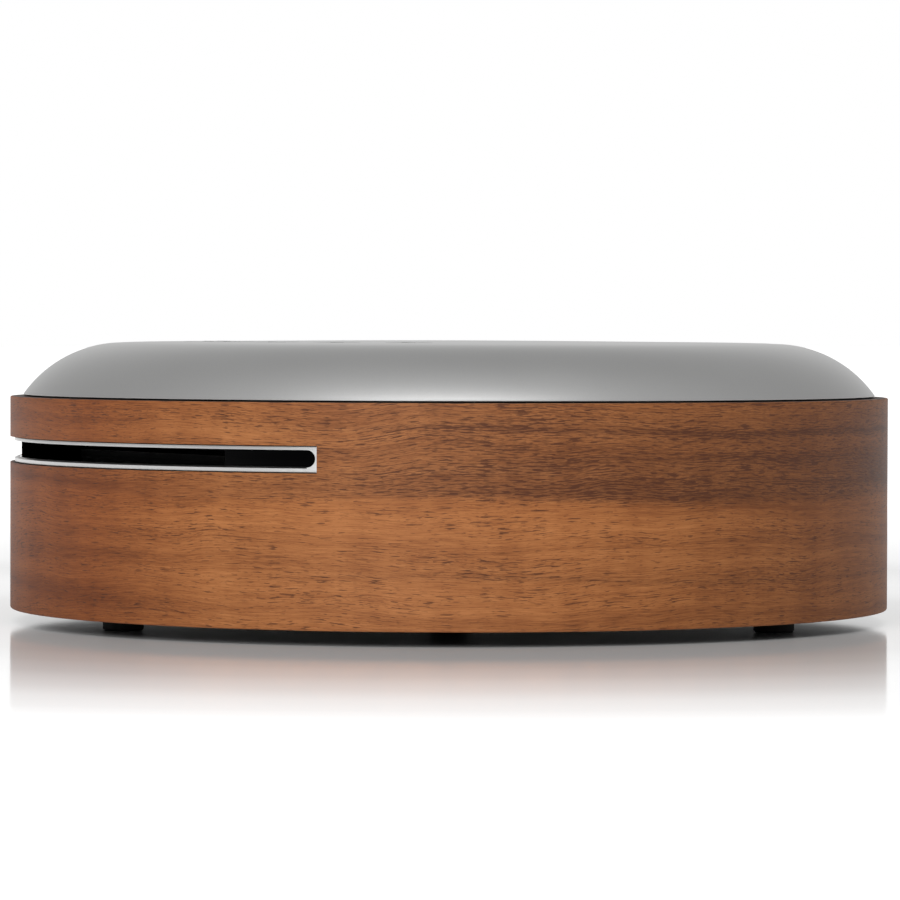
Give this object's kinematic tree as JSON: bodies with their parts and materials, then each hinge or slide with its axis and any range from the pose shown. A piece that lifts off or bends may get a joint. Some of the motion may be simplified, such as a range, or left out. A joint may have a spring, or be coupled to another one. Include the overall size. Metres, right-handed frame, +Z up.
{
  "type": "disc player with wireless audio receiver",
  "caption": "Low round veneered drum with a domed metal cap, a disc slot in its wall, push keys on top, sockets behind, and a slot-loading disc drive inside.",
  "frame": {"origin": "on the axis of the drum, at the height of the surface that the feet stand on", "axes": "+Z up along the drum's axis; -Y towards the middle of the disc slot; +Y towards the rear sockets; +X to the right when facing the slot"},
  "size_m": [0.25, 0.25, 0.08],
  "materials": {
    "walnut": "satin lacquer, horizontal straight grain",
    "core": "stained dark, machined",
    "cap": "satin, fine blasted",
    "trim": "satin",
    "key_metal": "satin, fine blasted",
    "gloss_black": "high gloss",
    "black_plastic": "fine moulded texture",
    "black_rubber": "matte",
    "felt": "short black pile",
    "black_screw": "black oxide",
    "steel_screw": "bright",
    "clear": "clear acrylic light guide",
    "circuit_board": "solder resist over copper",
    "component_black": "moulded packages",
    "component_tin": "tinned shield",
    "nickel": "nickel plated",
    "white_plastic": "moulded",
    "red_plastic": "moulded",
    "grey_button": "moulded",
    "zinc_sheet": "zinc plated, pressed",
    "damper_rubber": "soft, matte",
    "motor_can": "drawn can",
    "acetal": "natural acetal",
    "roller_rubber": "matte",
    "shaft_steel": "ground",
    "clear_grey": "moulded",
    "dark_moulding": "glass filled",
    "lens": "clear optical plastic"
  },
  "bodies": {
    "cabinet": {"cabinet_core": "core", "walnut_veneer": "walnut", "top_cover": "cap", "top_gasket": "black_rubber", "slot_trim": "trim", "slot_mask": "gloss_black", "dust_felts": "felt", "base_plate": "black_plastic", "base_screws": "black_screw", "cover_screws": "black_screw", "foot_front": "black_rubber", "foot_left": "black_rubber", "foot_right": "black_rubber", "light_pipe": "clear", "control_board": "circuit_board", "key_switches": "component_black", "board_screws": "steel_screw", "rear_panel": "black_plastic", "rear_screws": "black_screw", "rca_left": "nickel", "rca_right": "nickel", "rca_collar_left": "white_plastic", "rca_collar_right": "red_plastic", "optical_jack": "black_plastic", "aux_jack": "black_plastic", "dc_jack": "black_plastic", "switch_housing": "black_plastic", "jack_board": "circuit_board", "main_board": "circuit_board", "board_parts": "component_black", "wireless_module": "component_tin", "drive_chassis": "zinc_sheet", "drive_lid": "zinc_sheet", "drive_dampers": "damper_rubber", "drive_screws": "steel_screw", "loading_motor": "motor_can", "traverse_frame": "zinc_sheet", "spindle_motor": "motor_can", "sled_motor": "motor_can"},
    "key_power": {"key_power": "key_metal"},
    "key_volume_down": {"key_volume_down": "key_metal"},
    "key_previous": {"key_previous": "key_metal"},
    "key_play": {"key_play": "key_metal"},
    "key_next": {"key_next": "key_metal"},
    "key_volume_up": {"key_volume_up": "key_metal"},
    "key_eject": {"key_eject": "key_metal"},
    "rocker": {"power_rocker": "dark_moulding"},
    "pairing": {"pairing_button": "grey_button"},
    "shutter": {"optical_shutter": "dark_moulding"},
    "roller": {"loading_roller": "roller_rubber", "roller_shaft": "shaft_steel"},
    "reduction": {"reduction_gear": "acetal"},
    "loading_pinion": {"motor_pinion": "acetal"},
    "platter": {"turntable": "clear_grey"},
    "arm": {"clamp_arm": "zinc_sheet"},
    "puck": {"clamp_puck": "white_plastic"},
    "sled": {"pickup_sled": "dark_moulding"},
    "lens": {"pickup_lens": "lens"},
    "traverse_gear": {"sled_gear": "acetal"},
    "traverse_pinion": {"sled_pinion": "acetal"}
  },
  "joints": [
    {"name": "key_power_press", "type": "slide", "parent": "cabinet", "child": "key_power", "axis": [0, 0, -1], "range_m": [0, 0.0006], "stiffness_N_per_m": 1500, "springref_m": -0.0006},
    {"name": "key_volume_down_press", "type": "slide", "parent": "cabinet", "child": "key_volume_down", "axis": [0, 0, -1], "range_m": [0, 0.0006], "stiffness_N_per_m": 1500, "springref_m": -0.0006},
    {"name": "key_previous_press", "type": "slide", "parent": "cabinet", "child": "key_previous", "axis": [0, 0, -1], "range_m": [0, 0.0006], "stiffness_N_per_m": 1500, "springref_m": -0.0006},
    {"name": "key_play_press", "type": "slide", "parent": "cabinet", "child": "key_play", "axis": [0, 0, -1], "range_m": [0, 0.0006], "stiffness_N_per_m": 1500, "springref_m": -0.0006},
    {"name": "key_next_press", "type": "slide", "parent": "cabinet", "child": "key_next", "axis": [0, 0, -1], "range_m": [0, 0.0006], "stiffness_N_per_m": 1500, "springref_m": -0.0006},
    {"name": "key_volume_up_press", "type": "slide", "parent": "cabinet", "child": "key_volume_up", "axis": [0, 0, -1], "range_m": [0, 0.0006], "stiffness_N_per_m": 1500, "springref_m": -0.0006},
    {"name": "key_eject_press", "type": "slide", "parent": "cabinet", "child": "key_eject", "axis": [0, 0, -1], "range_m": [0, 0.0006], "stiffness_N_per_m": 1500, "springref_m": -0.0006},
    {"name": "rocker_tilt", "type": "hinge", "parent": "cabinet", "child": "rocker", "pos_m": [-0.033, 0.103, 0.034], "axis": [1, 0, 0], "range_deg": [0, 16]},
    {"name": "pairing_press", "type": "slide", "parent": "cabinet", "child": "pairing", "axis": [0, -1, 0], "range_m": [0, 0.0008], "stiffness_N_per_m": 1000, "springref_m": -0.0005},
    {"name": "shutter_swing", "type": "hinge", "parent": "cabinet", "child": "shutter", "pos_m": [0.009, 0.106, 0.0306], "axis": [1, 0, 0], "range_deg": [-80, 0], "stiffness_Nm_per_rad": 0.0004, "springref_deg": 17.19},
    {"name": "roller_turn", "type": "hinge", "parent": "cabinet", "child": "roller", "pos_m": [0, -0.062, 0.0444], "axis": [1, 0, 0], "continuous": true},
    {"name": "reduction_turn", "type": "hinge", "parent": "cabinet", "child": "reduction", "pos_m": [0.059, -0.05345, 0.03772], "axis": [1, 0, 0], "continuous": true},
    {"name": "pinion_turn", "type": "hinge", "parent": "cabinet", "child": "loading_pinion", "pos_m": [0.059, -0.04202, 0.03712], "axis": [1, 0, 0], "continuous": true},
    {"name": "platter_turn", "type": "hinge", "parent": "cabinet", "child": "platter", "pos_m": [0, 0.004, 0.048], "axis": [0, 0, 1], "continuous": true},
    {"name": "arm_lower", "type": "hinge", "parent": "cabinet", "child": "arm", "pos_m": [0, 0.06, 0.0542], "axis": [1, 0, 0], "range_deg": [0, 2.1], "stiffness_Nm_per_rad": 0.5, "springref_deg": -2.86},
    {"name": "puck_turn", "type": "hinge", "parent": "arm", "child": "puck", "pos_m": [0, 0.004, 0.0535], "axis": [0, 0, 1], "continuous": true},
    {"name": "sled_travel", "type": "slide", "parent": "cabinet", "child": "sled", "axis": [1, 0, 0], "range_m": [0, 0.033]},
    {"name": "lens_focus", "type": "slide", "parent": "sled", "child": "lens", "axis": [0, 0, 1], "range_m": [-0.0004, 0.0004], "stiffness_N_per_m": 60},
    {"name": "traverse_gear_turn", "type": "hinge", "parent": "cabinet", "child": "traverse_gear", "pos_m": [0.03, -0.02725, 0.0375], "axis": [0, 0, 1], "range_deg": [-266, 4]},
    {"name": "traverse_pinion_turn", "type": "hinge", "parent": "cabinet", "child": "traverse_pinion", "pos_m": [0.01915, -0.02725, 0.0375], "axis": [0, 0, 1], "range_deg": [-8, 532]}
  ],
  "couplings": [
    {"joint": "reduction_turn", "follows": "roller_turn", "ratio": -2},
    {"joint": "pinion_turn", "follows": "roller_turn", "ratio": 5.6},
    {"joint": "traverse_gear_turn", "follows": "sled_travel", "rad_per_m": -138.89},
    {"joint": "traverse_pinion_turn", "follows": "sled_travel", "rad_per_m": 277.78}
  ]
}
